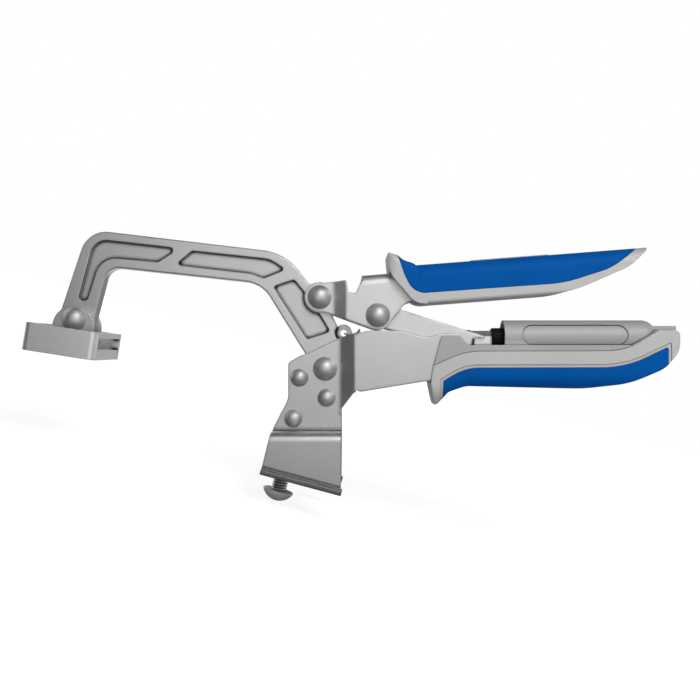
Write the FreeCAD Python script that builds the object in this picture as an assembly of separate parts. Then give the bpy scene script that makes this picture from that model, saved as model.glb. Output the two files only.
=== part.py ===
"""Bench clamp: a C arm that a toggle linkage presses down, on a foot that locks into a bench plate.

Every piece is drawn in a side frame: x runs along the barrel, y across the clamp, z up, with the
pivot of the arm at the origin, in millimetres. The last step turns the whole clamp, so that its
foot lies level and the origin is where the stud crosses the foot's face.
"""
import FreeCAD
import Part
import math
import os

Vector = FreeCAD.Vector

# Thicknesses of the sheet and forged pieces
ARM_THICK = 8.0
PLATE_THICK = 2.5
LEVER_THICK = 2.0
LINK_THICK = 2.0
EAR_THICK = 2.6

# Clearances
SIDE_GAP = 0.3
WIDE_GAP = 0.4
BORE_GAP = 0.05
FIT_GAP = 0.1
POCKET_GAP = 0.3

# Reach of the cutting tools past the clamp
FAR = 250.0

# Height of the barrel's axis, and pivots in the side frame
AXIS_HEIGHT = 15.8
LEVER_PIVOT = (-2.7, 35.3)
LINK_PIVOT = (25.85, 26.2)
END_PIVOT = (69.1, AXIS_HEIGHT)
PAD_PIVOT = (-123.5, 24.4)
SPRING_HOLE = (9.05, 17.7)
SPRING_ANCHOR = (46.0, 1.5)

# Rivets
BIG_SHANK = 3.5
BIG_HEAD = 5.9
BIG_DOME = 4.4
SMALL_SHANK = 2.4
SMALL_HEAD = 4.4
SMALL_DOME = 3.3
SMALL_RIVETS = [(-12.7, -4.4), (0.7, -14.3), (-15.6, -24.5)]
HEAD_EDGE = 0.6

# Forged arm
BODY_BOSS = 9.0
LEVER_BOSS = 6.4
PAD_BOSS = 9.0
LUG_RADIUS = 4.2
LUG_HOLE = 1.7
LUG_THICK = 2.6
POCKET_DEPTH = 1.2
POCKET_DRAFT = 0.6
ARM_CHAMFER = 0.5

# Lever and link
LEVER_END = 7.4
LEVER_LINK_BOSS = 7.1
LEVER_BEND = 5.0
LEVER_RISE = 4.7
LEVER_JOGGLE = (4.6, 10.4)
LINK_HALF = 8.0
LINK_BOSS = 6.4
LINK_PIN = 1.25
LINK_PIN_PLAY = 0.85
LINK_PIN_SEAT = 1.2

# Side plates
PLATE_JOGGLE = (7.3, 14.6)
PLATE_END = 84.0
FOOT_TILT = 15.0
FOOT_HALF = 20.0
LEDGE_HEIGHT = -30.4
LEDGE_BEND = 4.0
LIP_DEPTH = 4.0
FOOT_LEFT = -9.6
FOOT_RIGHT = 30.1
FOOT_ORIGIN = (-21.25, -52.07)

# Stud and its block
STUD_RADIUS = 3.9
STUD_STAND = 8.9
STUD_HEAD = 7.6
STUD_DOME = 5.3
STUD_REACH = 15.0
BLOCK_LOW = 6.0
BLOCK_HIGH = 16.5
BLOCK_HALF = 12.0
BLOCK_LENGTH = 17.0

# Barrel, trunnion, wheel and screw
BARREL_RADIUS = 8.25
BARREL_MOUTH = 88.3
BARREL_END = 164.4
BARREL_ROUND = 7.0
MOUTH_BORE = 6.6
BUSH_START = 106.0
BUSH_LENGTH = 10.0
CHAMBER_RADIUS = 5.6
CHAMBER_END = 150.0
TRUNNION = (63.0, 82.2)
TRUNNION_TOP = 2.9
TRUNNION_RAISED = 3.3
TRUNNION_STEP = 72.2
TRUNNION_FOOT = 4.6
WHEEL_RADIUS = 4.4
WHEEL_LENGTH = 7.2
WHEEL_RIBS = 18
SCREW_RADIUS = 2.9
SCREW_START = 77.5
SCREW_END = 122.0
SCREW_COLLAR = 4.6
COLLAR_LENGTH = 3.0
SCREW_FLAT = 2.2

# Springs
SPRING_RADIUS = 4.15
SPRING_WIRE = 0.5
SPRING_PITCH = 3.0
HOOK_RADIUS = 2.6
CHAMBER_SPRING_RADIUS = 4.3
CHAMBER_SPRING_WIRE = 0.6
CHAMBER_SPRING_PITCH = 3.5
COIL_RUNS = 10
COIL_SIDES = 6
ANCHOR_RADIUS = 1.5
ANCHOR_SEAT = 1.3

# Plastic housing and grips
HOUSING_HALF = 12.4
WALL_TOP = AXIS_HEIGHT - 4.2
BOSS_TOP = AXIS_HEIGHT + 0.4
KEEL_HALF = 8.0
KEEL_LOW = 1.0
KEEL_END = 140.0
SHELL_HALF = 13.0
COVER_SKIN = 1.8
TAIL_START = BARREL_END - 10.5
TAIL_END = 173.0
TAIL_HALF = 6.0
TAIL_LOW = 19.0
TAIL_TOP = 21.1
GUARD_START = 54.0
GUARD_END = 70.0
BORDER_WIDTH = 1.5
BORDER_STEP = 0.35
HOUSING_SCREWS = [
    (60.5, 9.3), (BARREL_MOUTH + 6.7, 4.6), (KEEL_END - 5.0, 4.6), (BARREL_END - 8.9, AXIS_HEIGHT + 0.8),
]
SCREW_SHANK = 1.5
SCREW_CAP = 2.8
SCREW_CAP_HEIGHT = 1.8
SCREW_SINK = 2.0
SCREW_BITE = 5.0
OVAL_CENTRE = (122.9, AXIS_HEIGHT + 0.8)
OVAL_LENGTH = 52.0
OVAL_HEIGHT = 10.2
OVAL_DEPTH = 0.6
GRIP_HALF = 14.4
GRIP_RISE = 4.4
GRIP_ORIGIN = (50.0, 31.75)
GRIP_DEEP = 19.5
GRIP_ROUND = 7.0
GRIP_UNDER = 1.6
LIP_ROUND = 6.0
LIP_CROWN = 3.0
TANG_END = 126.0
INLAY = (72.0, 110.0)
INLAY_HALF = 5.5
INLAY_PROUD = 0.6

# Pad, drawn level with its pivot as the origin, then hung at its angle
PAD_LENGTH = 35.0
PAD_SHIFT = -0.5
PAD_WIDTH = 46.0
PAD_TOP = -4.5
PAD_FACE = -17.8
PAD_ANGLE = 8.9
PAD_CORNER = 3.0
PAD_WALL = 5.0
PAD_RAIL = 3.4
PAD_RAIL_HIGH = 2.6
PAD_FLOOR = 4.9
BRACKET_THICK = 2.8
EAR_RADIUS = 10.2
EAR_CENTRE = -3.7

# Depths across the clamp, worked out from the thicknesses
arm_half = ARM_THICK / 2
plate_in = arm_half + SIDE_GAP
plate_out = plate_in + PLATE_THICK
lever_near = plate_in + LEVER_THICK
wide_in = LINK_HALF + WIDE_GAP
lever_wide = wide_in + LEVER_THICK
plate_wide = wide_in + PLATE_THICK
link_in = LINK_HALF - LINK_THICK
trunnion_half = link_in - WIDE_GAP
ear_in = arm_half + SIDE_GAP
ear_out = ear_in + EAR_THICK


def outline(points, y=0.0, plane="xz"):
    """Closed wire of straight runs, with a tangent arc at each corner that names a radius."""
    def place(u, v):
        return Vector(u, y, v) if plane == "xz" else Vector(u, v, y)

    count = len(points)
    runs = []
    for i in range(count):
        here = points[i]
        before = points[i - 1]
        after = points[(i + 1) % count]
        corner = Vector(here[0], here[1], 0)
        back = Vector(before[0], before[1], 0) - corner
        ahead = Vector(after[0], after[1], 0) - corner
        radius = here[2] if len(here) > 2 else 0.0
        half = back.getAngle(ahead) / 2
        if radius <= 0 or half > math.radians(89.9):
            runs.append((corner, None, corner))
            continue
        reach = radius / math.tan(half)
        back.normalize()
        ahead.normalize()
        middle = (back + ahead).normalize()
        centre = corner + middle * (radius / math.sin(half))
        runs.append((corner + back * reach, centre - middle * radius, corner + ahead * reach))
    edges = []
    for i in range(count):
        start, bulge, end = runs[i]
        if bulge is not None:
            edges.append(Part.Arc(place(start.x, start.y), place(bulge.x, bulge.y),
                                  place(end.x, end.y)).toShape())
        following = runs[(i + 1) % count][0]
        if (following - end).Length > 1e-6:
            edges.append(Part.LineSegment(place(end.x, end.y), place(following.x, following.y)).toShape())
    return Part.Wire(edges)


def slab(points, low, high):
    """A side-view outline made solid from depth low to depth high."""
    return Part.Face(outline(points, low)).extrude(Vector(0, high - low, 0))


def pillar(points, low, high):
    """A plan outline of x and y points made solid from height low to height high."""
    return Part.Face(outline(points, low, "xy")).extrude(Vector(0, 0, high - low))


def disc(centre, radius, low, high):
    """A round bar across the clamp, from depth low to depth high."""
    return Part.makeCylinder(radius, high - low, Vector(centre[0], low, centre[1]), Vector(0, 1, 0))


def bar(radius, start, end, height=AXIS_HEIGHT):
    """A round bar along the barrel."""
    return Part.makeCylinder(radius, end - start, Vector(start, 0, height), Vector(1, 0, 0))


def block(x_low, x_high, y_low, y_high, z_low, z_high):
    """A plain block between two corners."""
    return Part.makeBox(x_high - x_low, y_high - y_low, z_high - z_low, Vector(x_low, y_low, z_low))


def section(points, x):
    """Closed wire of y and height points, square to the barrel at x."""
    wire = outline(points)
    wire.rotate(Vector(0, 0, 0), Vector(0, 0, 1), 90)
    wire.translate(Vector(x, 0, 0))
    return wire


def lengthwise(points, start, end):
    """A section of y and height points carried along x from start to end."""
    return Part.Face(section(points, start)).extrude(Vector(end - start, 0, 0))


def mirrored(shape):
    """The same piece on the other side of the clamp."""
    return shape.mirror(Vector(0, 0, 0), Vector(0, 1, 0))


def turned(shape, angle, centre=(0, 0)):
    """A shape turned in the side view, anticlockwise as seen from the near side."""
    result = shape.copy()
    result.rotate(Vector(centre[0], 0, centre[1]), Vector(0, -1, 0), angle)
    return result


def whole(shape):
    """One clean solid from a chain of cuts and joins."""
    clean = shape.removeSplitter()
    return clean.Solids[0] if len(clean.Solids) == 1 else clean


def domed_head(centre, face, side, radius, height):
    """A rivet's domed head on the face at that depth; side is -1 for near, 1 for far."""
    ball = (radius * radius + (height - HEAD_EDGE) ** 2) / (2 * (height - HEAD_EDGE))
    top = Vector(0, height, 0)
    rim = Vector(radius, HEAD_EDGE, 0)
    half = math.asin(radius / ball) / 2
    middle = Vector(ball * math.sin(half), height - ball + ball * math.cos(half), 0)
    edges = [
        Part.LineSegment(Vector(0, 0, 0), Vector(radius, 0, 0)).toShape(),
        Part.LineSegment(Vector(radius, 0, 0), rim).toShape(),
        Part.Arc(rim, middle, top).toShape(),
        Part.LineSegment(top, Vector(0, 0, 0)).toShape(),
    ]
    head = Part.Face(Part.Wire(edges)).revolve(Vector(0, 0, 0), Vector(0, 1, 0), 360)
    if side < 0:
        head = head.mirror(Vector(0, 0, 0), Vector(0, 1, 0))
    head.translate(Vector(centre[0], face, centre[1]))
    return head


def rivet(centre, grip, shank, radius, height):
    """A rivet whose heads close on the faces at plus and minus grip."""
    body = disc(centre, shank, -grip, grip)
    return whole(body.fuse([domed_head(centre, -grip, -1, radius, height),
                            domed_head(centre, grip, 1, radius, height)]))


def joggled_sheet(joggle, narrow, wide, thick, x_low, x_high, z_low, z_high):
    """Near wall of sheet that steps outwards between the two x values of joggle."""
    start, end = joggle
    outer = [(x_low, -narrow), (start, -narrow), (end, -wide), (x_high, -wide)]
    slope = math.atan2(wide - narrow, end - start)
    shift = thick * math.tan(slope / 2)
    inner = [(x_high, -wide + thick), (end + shift, -wide + thick),
             (start + shift, -narrow + thick), (x_low, -narrow + thick)]
    bend = thick * 0.8
    path = [outer[0], outer[1] + (bend + thick,), outer[2] + (bend,), outer[3],
            inner[0], inner[1] + (bend + thick,), inner[2] + (bend,), inner[3]]
    return pillar(path, z_low, z_high)


def spring_coil(radius, wire, pitch, length):
    """A coil along +x from the origin, its wire laid in short straight runs."""
    runs = round(COIL_RUNS * length / pitch)
    corners = []
    for i in range(runs + 1):
        angle = 2 * math.pi * i / COIL_RUNS
        corners.append(Vector(length * i / runs, radius * math.sin(angle), -radius * math.cos(angle)))
    way = corners[1] - corners[0]
    upright = way.cross(Vector(0, 0, 1)).normalize()
    across = upright.cross(way).normalize()
    rim = []
    for i in range(COIL_SIDES):
        angle = 2 * math.pi * i / COIL_SIDES
        rim.append(corners[0] + across * (wire * math.cos(angle)) + upright * (wire * math.sin(angle)))
    profile = Part.makePolygon(rim + rim[:1])
    return Part.makePolygon(corners).makePipeShell([profile], True, False, 1)


# Forged arm

LEVER_X, LEVER_Z = LEVER_PIVOT
PAD_X, PAD_Z = PAD_PIVOT

ARM_OUTLINE = [
    (PAD_X - 11.2, PAD_Z - 6.0, PAD_BOSS - 0.5), (PAD_X + 5.8, 69.0, 12.8),
    (LEVER_X - 17.2, LEVER_Z + 22.1, 26.0), (LEVER_X - 5.4, LEVER_Z + 6.6, 3.0),
    (LEVER_X + LEVER_BOSS, LEVER_Z + LEVER_BOSS, LEVER_BOSS - 0.4),
    (LEVER_X + 6.2, LEVER_Z - 9.0, 3.0), (5.8, 21.4), (8.6, 13.0), (BODY_BOSS - 0.4, 2.0), (0.0, 0.0),
    (-8.0, 4.1), (-31.6, 42.3, 16.4), (-108.0, 50.5, 7.4), (PAD_X + 6.0, PAD_Z - 11.2, PAD_BOSS - 0.5),
]
ELBOW_POCKET = [
    (-122.8, 33.4, 2.0), (-114.5, 64.4, 8.0), (-72.1, 59.6, 1.8), (-82.8, 52.7, 3.0),
    (-111.2, 55.2, 10.0), (-117.8, 33.8, 2.2),
]
BEAM_POCKET = [
    (-66.0, 58.5, 2.0), (-27.3, 54.3, 12.0), (-19.4, 49.1, 1.3), (-30.6, 44.6, 1.5),
    (-37.5, 47.0, 8.0), (-74.6, 51.3, 1.3),
]
SHOULDER_POCKET = [
    (-26.0, 40.7, 1.3), (-15.4, 44.3, 1.8), (LEVER_X - 6.8, LEVER_Z + 1.7),
    (LEVER_X - 0.8, LEVER_Z - 6.8), (2.7, 18.3, 1.6), (-9.2, 14.4, 1.6),
]


def pocket_cutter(points, relief=None):
    """A pocket with sloping walls, cut from the near face."""
    cutter = slab(points, -arm_half - 1, -arm_half + POCKET_DEPTH)
    if relief is not None:
        cutter = cutter.cut(relief)
    floor = [e for e in cutter.Edges if abs(e.BoundBox.YMin + arm_half - POCKET_DEPTH) < 1e-6]
    return cutter.makeChamfer(POCKET_DRAFT, floor)


def make_arm():
    strap = slab(ARM_OUTLINE, -arm_half, arm_half)
    arm = strap.fuse(disc((0, 0), BODY_BOSS, -arm_half, arm_half)).removeSplitter()
    arm = arm.cut(disc(SPRING_HOLE, LUG_RADIUS, -arm_half, arm_half)).removeSplitter()
    rims = [e for e in arm.Edges if e.BoundBox.YLength < 1e-6]
    arm = arm.makeChamfer(ARM_CHAMFER, rims)
    arm = arm.fuse(disc(SPRING_HOLE, LUG_RADIUS, -LUG_THICK / 2, LUG_THICK / 2))
    end_clear = disc(LEVER_PIVOT, LEVER_END + POCKET_GAP, -arm_half - 1, arm_half)
    for points, relief in ((ELBOW_POCKET, None), (BEAM_POCKET, None), (SHOULDER_POCKET, end_clear)):
        cutter = pocket_cutter(points, relief)
        arm = arm.cut([cutter, mirrored(cutter)])
    bores = [disc(PAD_PIVOT, BIG_SHANK, -arm_half, arm_half),
             disc(LEVER_PIVOT, BIG_SHANK + BORE_GAP, -arm_half, arm_half),
             disc((0, 0), BIG_SHANK + BORE_GAP, -arm_half, arm_half),
             disc(SPRING_HOLE, LUG_HOLE, -arm_half, arm_half)]
    return whole(arm.cut(bores))


# Side plates with the flared foot

REAR_OUTLINE = [
    (PLATE_JOGGLE[0] + 7.3, -11.7, 3.0), (50.3, -5.9), (60.0, -4.4, 4.0), (66.0, 2.5, 3.0),
    (PLATE_END, 2.5, 2.0), (PLATE_END, WALL_TOP - 1.0, 2.0), (70.5, WALL_TOP - 1.0, 3.0),
    (65.2, 17.5, 2.0), (55.6, 17.3, 4.0), (51.5, 15.7, 8.0), (47.0, 16.0, 8.0), (38.0, 18.7, 20.0),
    (21.5, 18.7, 12.0), (14.6, 17.3, 4.0),
]
FRONT_OUTLINE = [
    (4.7, 14.2), (-8.8, 7.5, 3.0), (-12.1, 6.6, 3.0), (-18.2, 3.1, 2.5), (-18.2, -15.1, 10.0),
    (-26.5, LEDGE_HEIGHT), (-26.5, LEDGE_HEIGHT - 6.0), (8.2, LEDGE_HEIGHT - 6.0), (8.2, -20.3, 1.5),
]


def foot_point(along, above):
    """A side-view point given along and above the level face of the foot."""
    tilt = math.radians(FOOT_TILT)
    return (FOOT_ORIGIN[0] + along * math.cos(tilt) + above * math.sin(tilt),
            FOOT_ORIGIN[1] - along * math.sin(tilt) + above * math.cos(tilt))


def foot_section(top):
    """Section of the flare across the clamp: down, out along the ledge, and down again."""
    low = -75.0
    inner = FOOT_HALF - PLATE_THICK
    ledge = LEDGE_HEIGHT - PLATE_THICK
    return [(-plate_out, top), (-plate_out, LEDGE_HEIGHT, 1.2), (-FOOT_HALF, LEDGE_HEIGHT, LEDGE_BEND),
            (-FOOT_HALF, low), (-inner, low), (-inner, ledge, LEDGE_BEND - PLATE_THICK),
            (-plate_in, ledge, 1.2 + PLATE_THICK), (-plate_in, top)]


def make_side_plate():
    front_low = LEDGE_HEIGHT + 8.0
    upper = joggled_sheet(PLATE_JOGGLE, plate_out, plate_wide, PLATE_THICK, -40.0, BARREL_MOUTH,
                          front_low, 40.0)
    shape_front = slab(FRONT_OUTLINE, -FAR, 0)
    joint = slab([(4.7, 14.2), (PLATE_JOGGLE[0] + 4.5, 16.7), (PLATE_JOGGLE[0] + 8.0, 17.9),
                  (PLATE_JOGGLE[0] + 8.0, -11.4), (PLATE_JOGGLE[0] + 6.8, -11.7), (8.2, -19.6),
                  (8.2, -20.3), (-2.0, -20.3), (-2.0, 10.9)], -FAR, 0)
    shape_rear = slab(REAR_OUTLINE, -FAR, 0)
    upper = upper.common(shape_front.fuse([joint, shape_rear]))
    flare = lengthwise(foot_section(front_low), -50.0, 30.0)
    left_low = foot_point(FOOT_LEFT, 0)
    right_low = foot_point(FOOT_RIGHT, 0)
    foot_side = slab([(8.2, front_low), (-22.1, front_low), (-25.6, LEDGE_HEIGHT + 1.0, 3.0),
                      left_low, right_low], -30, 0)
    lip_points = [foot_point(FOOT_LEFT, 0), foot_point(FOOT_RIGHT, 0),
                  foot_point(FOOT_RIGHT, PLATE_THICK), foot_point(FOOT_LEFT, PLATE_THICK)]
    lip = slab(lip_points, -FOOT_HALF - LIP_DEPTH, -FOOT_HALF + PLATE_THICK / 2)
    plate = upper.fuse([flare.common(foot_side), lip])
    holes = [disc(point, SMALL_SHANK, -plate_out - 1, 0) for point in SMALL_RIVETS]
    holes.append(disc((0, 0), BIG_SHANK, -plate_out - 1, 0))
    holes.append(disc(SPRING_ANCHOR, ANCHOR_RADIUS, -wide_in - ANCHOR_SEAT, 0))
    holes.append(disc(HOUSING_SCREWS[0], SCREW_SHANK + FIT_GAP, -plate_wide - 1, 0))
    return whole(plate.cut(holes))


def make_stud_block():
    web = slab([(-17.0, 1.6, 1.5), (-8.0, 1.6), (7.4, -8.0), (7.4, LEDGE_HEIGHT - 2.0),
                foot_point(BLOCK_LENGTH - 8.5, BLOCK_HIGH - 2), foot_point(-8.5, BLOCK_HIGH - 2),
                (-24.2, LEDGE_HEIGHT + 1.0), (-17.0, -16.5)], -plate_in, plate_in)
    web = web.cut(disc((0, 0), BODY_BOSS + SIDE_GAP, -plate_in, plate_in))
    base = slab([foot_point(-8.5, BLOCK_LOW), foot_point(BLOCK_LENGTH - 8.5, BLOCK_LOW),
                 foot_point(BLOCK_LENGTH - 8.5, BLOCK_HIGH), foot_point(-8.5, BLOCK_HIGH)],
                -BLOCK_HALF, BLOCK_HALF)
    holes = [disc(point, SMALL_SHANK, -plate_in, plate_in) for point in SMALL_RIVETS]
    return whole(web.fuse(base).cut(holes).cut(stud_bar(STUD_RADIUS, BLOCK_LOW - 1, STUD_REACH)))


def stud_bar(radius, low, high):
    """A round bar on the stud's axis, by heights above the foot's face."""
    start = foot_point(0, low)
    end = foot_point(0, high)
    base = Vector(start[0], 0, start[1])
    way = Vector(end[0], 0, end[1]) - base
    return Part.makeCylinder(radius, high - low, base, way)


def make_foot_stud():
    shank = stud_bar(STUD_RADIUS, -STUD_STAND, STUD_REACH)
    head = domed_head((0, 0), 0, -1, STUD_HEAD, STUD_DOME)
    head.rotate(Vector(0, 0, 0), Vector(1, 0, 0), 90)
    head.rotate(Vector(0, 0, 0), Vector(0, -1, 0), -FOOT_TILT)
    seat = foot_point(0, -STUD_STAND)
    head.translate(Vector(seat[0], 0, seat[1]))
    return whole(shank.fuse(head))


def make_frame_rivets():
    return Part.makeCompound([rivet(point, plate_out, SMALL_SHANK, SMALL_HEAD, SMALL_DOME)
                              for point in SMALL_RIVETS])


def make_spring_anchor_pin():
    reach = wide_in + ANCHOR_SEAT
    return disc(SPRING_ANCHOR, ANCHOR_RADIUS, -reach, reach)


# Springs

def make_return_spring():
    reach = Vector(SPRING_ANCHOR[0] - SPRING_HOLE[0], 0, SPRING_ANCHOR[1] - SPRING_HOLE[1])
    play = HOOK_RADIUS - SPRING_WIRE - ANCHOR_RADIUS - BORE_GAP
    rear_ring = reach.Length - play
    start = 2 * HOOK_RADIUS
    end = rear_ring - HOOK_RADIUS
    coil = spring_coil(SPRING_RADIUS, SPRING_WIRE, SPRING_PITCH, end - start)
    coil.translate(Vector(start, 0, 0))
    rings = [Part.makeTorus(HOOK_RADIUS, SPRING_WIRE, Vector(HOOK_RADIUS, 0, 0), Vector(0, 0, 1)),
             Part.makeTorus(HOOK_RADIUS, SPRING_WIRE, Vector(rear_ring, 0, 0), Vector(0, 1, 0))]
    spokes = [Part.makeCylinder(SPRING_WIRE, SPRING_RADIUS, Vector(at, 0, 0), Vector(0, 0, -1))
              for at in (start, end)]
    turns = round(COIL_RUNS * (end - start) / SPRING_PITCH) / COIL_RUNS
    spokes[1].rotate(Vector(0, 0, 0), Vector(1, 0, 0), 360 * (turns - math.floor(turns)))
    spring = coil.fuse(rings + spokes)
    spring = turned(spring, math.degrees(math.atan2(reach.z, reach.x)))
    spring.translate(Vector(SPRING_HOLE[0], 0, SPRING_HOLE[1]))
    return whole(spring)


def make_barrel_spring():
    start = SCREW_END + CHAMBER_SPRING_WIRE
    length = CHAMBER_END - CHAMBER_SPRING_WIRE - start
    coil = spring_coil(CHAMBER_SPRING_RADIUS, CHAMBER_SPRING_WIRE, CHAMBER_SPRING_PITCH, length)
    coil.translate(Vector(start, 0, AXIS_HEIGHT))
    return whole(coil)


# Lever

LEVER_SLOPE = math.tan(math.radians(LEVER_RISE))
LINK_X, LINK_Z = LINK_PIVOT


def roof_height(x):
    """Height of the lever's roof, on its outer face."""
    return LEVER_Z + 10.6 + (x - 18.7) * LEVER_SLOPE


LEVER_OUTLINE = [
    (LEVER_X - 3.5, LEVER_Z + 6.6), (LEVER_X + 13.2, LEVER_Z + 8.1, 1.0),
    (LEVER_X + 14.1, LEVER_Z + 2.1, 1.0), (LEVER_X + 17.8, LEVER_Z + 1.8, 1.0),
    (18.7, roof_height(18.7)), (TANG_END, roof_height(TANG_END)),
    (TANG_END, roof_height(TANG_END) - 9.0, 2.0), (62.0, 37.0, 20.0), (46.0, 34.6, 6.0), (39.2, 32.0, 4.0),
    (LINK_X + 7.4, LINK_Z - 1.8), (LINK_X + 5.0, LINK_Z - 5.0), (LINK_X + 0.4, LINK_Z - LEVER_LINK_BOSS),
    (LINK_X - 2.5, LINK_Z - 6.7), (LEVER_X + 7.1, LEVER_Z - 9.0, 8.0), (LEVER_X + 1.6, LEVER_Z - 7.2),
]


def make_lever():
    cheek = joggled_sheet(LEVER_JOGGLE, lever_near, lever_wide, LEVER_THICK, -20.0, TANG_END, 0.0, FAR)
    side = slab(LEVER_OUTLINE, -lever_wide, 0)
    side = side.fuse([disc(LEVER_PIVOT, LEVER_END, -lever_wide, 0),
                      disc(LINK_PIVOT, LEVER_LINK_BOSS, -lever_wide, 0)])
    cheek = cheek.common(side)
    roof = roof_shell()
    lever = cheek.fuse([mirrored(cheek)])
    corner = roof_corner_cutter()
    lever = lever.cut([corner, mirrored(corner)]).fuse(roof)
    holes = [disc(LEVER_PIVOT, BIG_SHANK, -lever_wide, lever_wide),
             disc(LINK_PIVOT, BIG_SHANK, -lever_wide, lever_wide)]
    return whole(lever.cut(holes))


def along_roof(points, x_low, x_high):
    """A section of y and drop points carried along the sloping roof."""
    low_z = roof_height(x_low)
    wire = outline(points, 0.0)
    face = Part.Face(wire)
    face.rotate(Vector(0, 0, 0), Vector(0, 0, 1), 90)
    face.translate(Vector(x_low, 0, low_z))
    return face.extrude(Vector(x_high - x_low, 0, roof_height(x_high) - low_z))


def roof_shell():
    bend = LEVER_BEND
    sheet = [(-lever_wide, -bend - 1), (-lever_wide, 0, bend), (lever_wide, 0, bend),
               (lever_wide, -bend - 1), (wide_in, -bend - 1), (wide_in, -LEVER_THICK, bend - LEVER_THICK),
               (-wide_in, -LEVER_THICK, bend - LEVER_THICK), (-wide_in, -bend - 1)]
    shell = along_roof(sheet, 12.0, TANG_END)
    lean = slab([(16.9, 30.0), (18.9, 60.0), (TANG_END, 70.0), (TANG_END, 30.0)], -lever_wide, lever_wide)
    return shell.common(lean)


def roof_corner_cutter():
    """Removes the cheek's square top, which the bend of the roof replaces."""
    corner = [(-lever_wide - 1, -LEVER_BEND - 1), (-lever_wide - 1, 10), (0, 10), (0, -LEVER_BEND - 1)]
    cutter = along_roof(corner, 12.0, TANG_END + 1)
    lean = slab([(16.9, 30.0), (18.9, 60.0), (TANG_END + 1, 70.0), (TANG_END + 1, 30.0)], -20, 20)
    return cutter.common(lean)


# Link, trunnion, wheel and screw

END_X, END_Z = END_PIVOT
LINK_OUTLINE = [
    (LINK_X + 2.0, LINK_Z + 6.0), (LINK_X + 11.0, LINK_Z + 3.0), (END_X + 12.6, END_Z - 0.9, 0.6),
    (END_X + 4.4, END_Z - 0.9, 1.0), (END_X + 3.1, END_Z - 1.2, 0.4), (END_X + 3.1, END_Z - 4.6, 2.0),
    (END_X - 4.0, END_Z - 4.6, 3.0),
    (LINK_X + 2.0, LINK_Z - 6.1), (LINK_X, LINK_Z),
]


def make_link():
    cheek = slab(LINK_OUTLINE, -LINK_HALF, -link_in)
    cheek = cheek.fuse(disc(LINK_PIVOT, LINK_BOSS, -LINK_HALF, -link_in))
    web = slab([(36.0, LINK_Z - 9.1), (56.0, END_Z - 2.4), (56.0, END_Z - 0.4), (36.0, LINK_Z - 7.1)],
               -LINK_HALF, LINK_HALF)
    link = cheek.fuse([mirrored(cheek), web])
    holes = [disc(LINK_PIVOT, BIG_SHANK + BORE_GAP, -LINK_HALF, LINK_HALF),
             link_pin()]
    return whole(link.cut(holes))


def link_pin():
    """The pin between the link's tips, which ends inside their sheet."""
    reach = link_in + LINK_PIN_SEAT
    return disc(END_PIVOT, LINK_PIN, -reach, reach)


def make_link_end_pin():
    return link_pin()


def make_trunnion():
    start, end = TRUNNION
    low = AXIS_HEIGHT - TRUNNION_FOOT
    top = AXIS_HEIGHT + TRUNNION_TOP
    raised = AXIS_HEIGHT + TRUNNION_RAISED
    body = slab([(start, low, 1.0), (end, low), (end, top, 0.5), (TRUNNION_STEP, top),
                 (TRUNNION_STEP - 1.0, raised), (start, raised, 2.5)], -trunnion_half, trunnion_half)
    bore = bar(SCREW_RADIUS + BORE_GAP, SCREW_START - 2.5, end + 1)
    flat = block(start, end + 1, -trunnion_half, trunnion_half,
                 AXIS_HEIGHT - SCREW_RADIUS - 1, AXIS_HEIGHT - SCREW_FLAT - BORE_GAP)
    slot = disc(END_PIVOT, LINK_PIN + LINK_PIN_PLAY, -trunnion_half, trunnion_half)
    grooves = [block(TRUNNION_STEP, TRUNNION_STEP + 1.3, side - 1.2, side + 1.2, low - 1, low + 5.0)
               for side in (-trunnion_half, trunnion_half)]
    return whole(body.cut([bore.cut(flat), slot] + grooves))


def make_thumb_wheel():
    start = TRUNNION[1] + SIDE_GAP
    wheel = bar(WHEEL_RADIUS, start, start + WHEEL_LENGTH)
    ends = [e for e in wheel.Edges if abs(e.Length - 2 * math.pi * WHEEL_RADIUS) < 1e-3]
    wheel = wheel.makeChamfer(0.6, ends)
    cutters = []
    for i in range(WHEEL_RIBS):
        angle = 360.0 * i / WHEEL_RIBS
        groove = bar(0.3, start - 1, start + WHEEL_LENGTH + 1, AXIS_HEIGHT + WHEEL_RADIUS + 0.05)
        groove.rotate(Vector(0, 0, AXIS_HEIGHT), Vector(1, 0, 0), angle)
        cutters.append(groove)
    wheel = wheel.cut(cutters)
    return whole(wheel.cut(bar(SCREW_RADIUS + BORE_GAP, start - 1, start + WHEEL_LENGTH + 1)))


def make_adjusting_screw():
    shank = bar(SCREW_RADIUS, SCREW_START, SCREW_END)
    flat = block(SCREW_START - 1, SCREW_END, -5, 5, AXIS_HEIGHT - SCREW_RADIUS - 1, AXIS_HEIGHT - SCREW_FLAT)
    collar = bar(SCREW_COLLAR, SCREW_END - COLLAR_LENGTH, SCREW_END)
    return whole(shank.cut(flat).fuse(collar))


def make_barrel_bush():
    bush = bar(MOUTH_BORE, BUSH_START, BUSH_START + BUSH_LENGTH)
    return whole(bush.cut(bar(SCREW_RADIUS + BORE_GAP, BUSH_START - 1, BUSH_START + BUSH_LENGTH + 1)))


# Lower housing and grip

PARTING = [(52.9, 1.6), (68.5, 8.5, 36.0), (146.0, 8.7, 30.0), (163.2, 19.4)]


def housing_space():
    """Room inside the plastic for the plates and for what moves between them."""
    half = plate_wide + FIT_GAP
    return slab([(40.0, -8.4), (60.6, -4.9, 4.0), (66.4, 2.2, 3.0), (BARREL_MOUTH, 2.2), (BARREL_MOUTH, 40.0),
                 (40.0, 40.0)], -half, half)


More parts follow.
